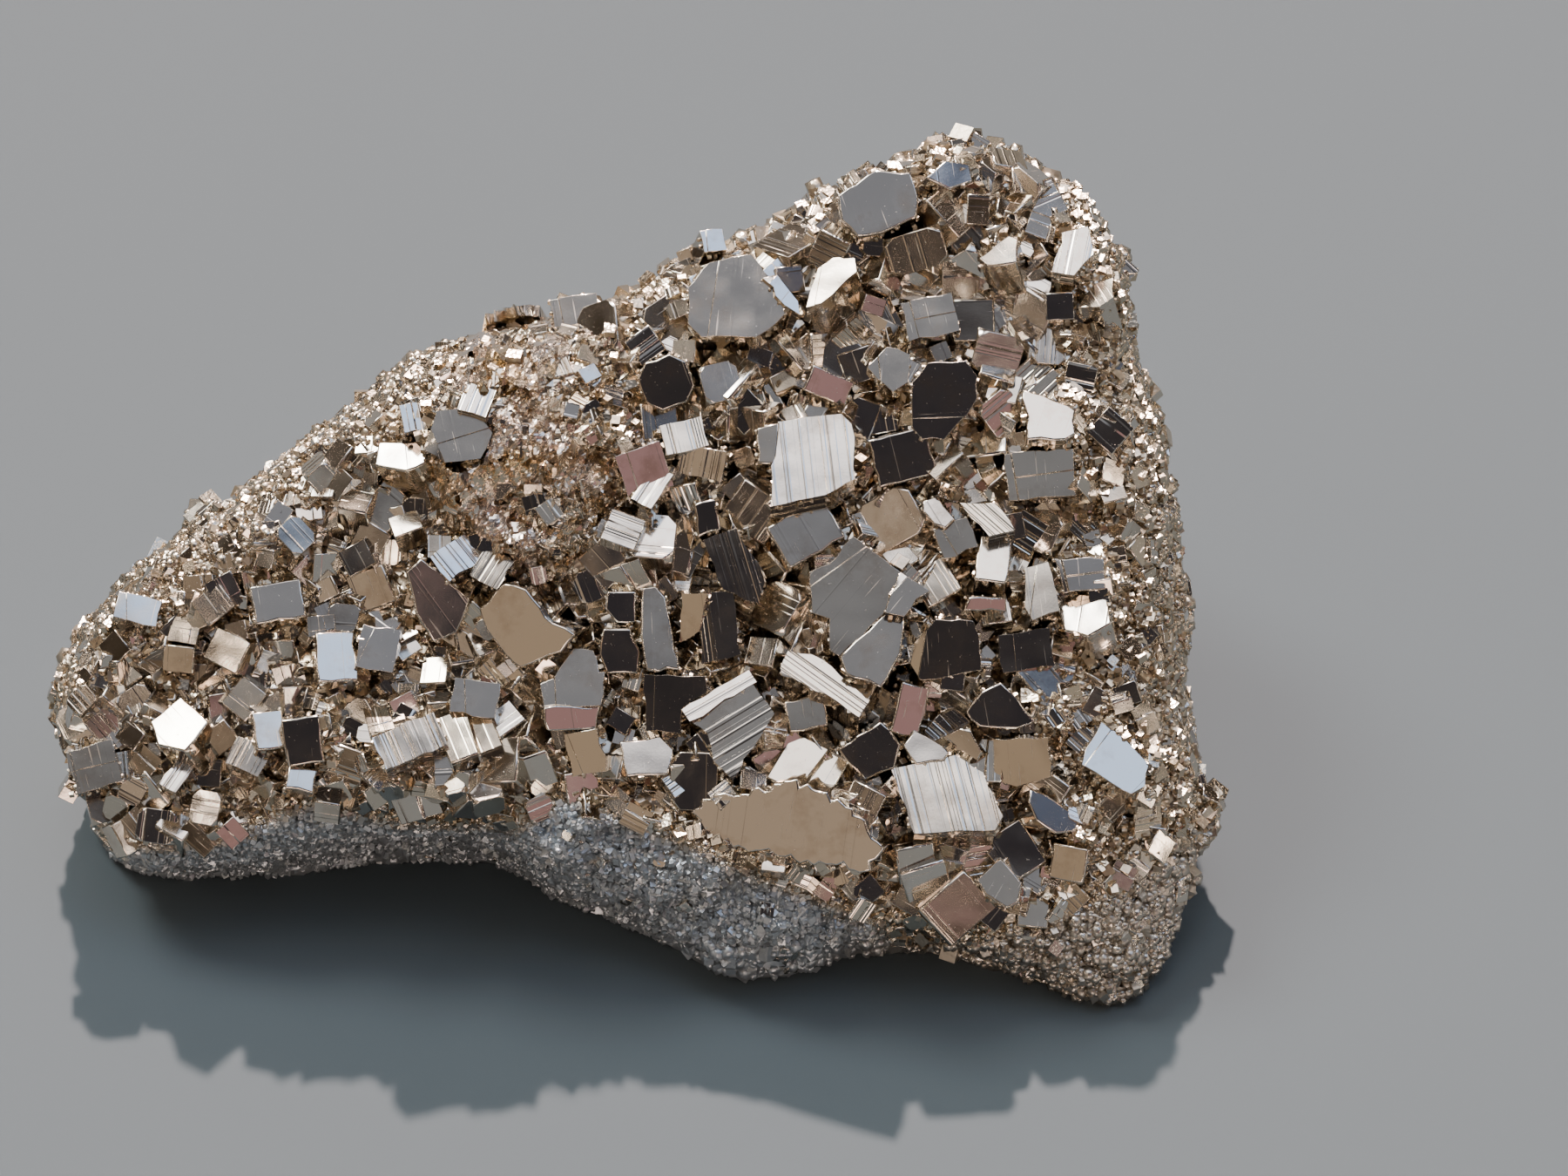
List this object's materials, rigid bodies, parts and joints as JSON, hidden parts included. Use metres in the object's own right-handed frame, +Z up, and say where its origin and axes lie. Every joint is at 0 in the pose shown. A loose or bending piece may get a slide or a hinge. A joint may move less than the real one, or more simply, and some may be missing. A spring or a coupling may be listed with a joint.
{
  "type": "pyrite cluster",
  "caption": "Palm-sized pyrite druse: interpenetrating striated cubes and a granular crust on a leaning face, with a broad flat break to rest on.",
  "frame": {"origin": "middle of the bounding box, on the ground under the flat break", "axes": "+X along the specimen's length, from the narrow arm to the broad end; +Y away from the viewer, towards the high crest; +Z up"},
  "size_m": [0.061, 0.0374, 0.0304],
  "materials": {
    "pyrite": "gloss"
  },
  "bodies": {
    "root": {"pyrite_cluster": "pyrite"}
  },
  "joints": []
}
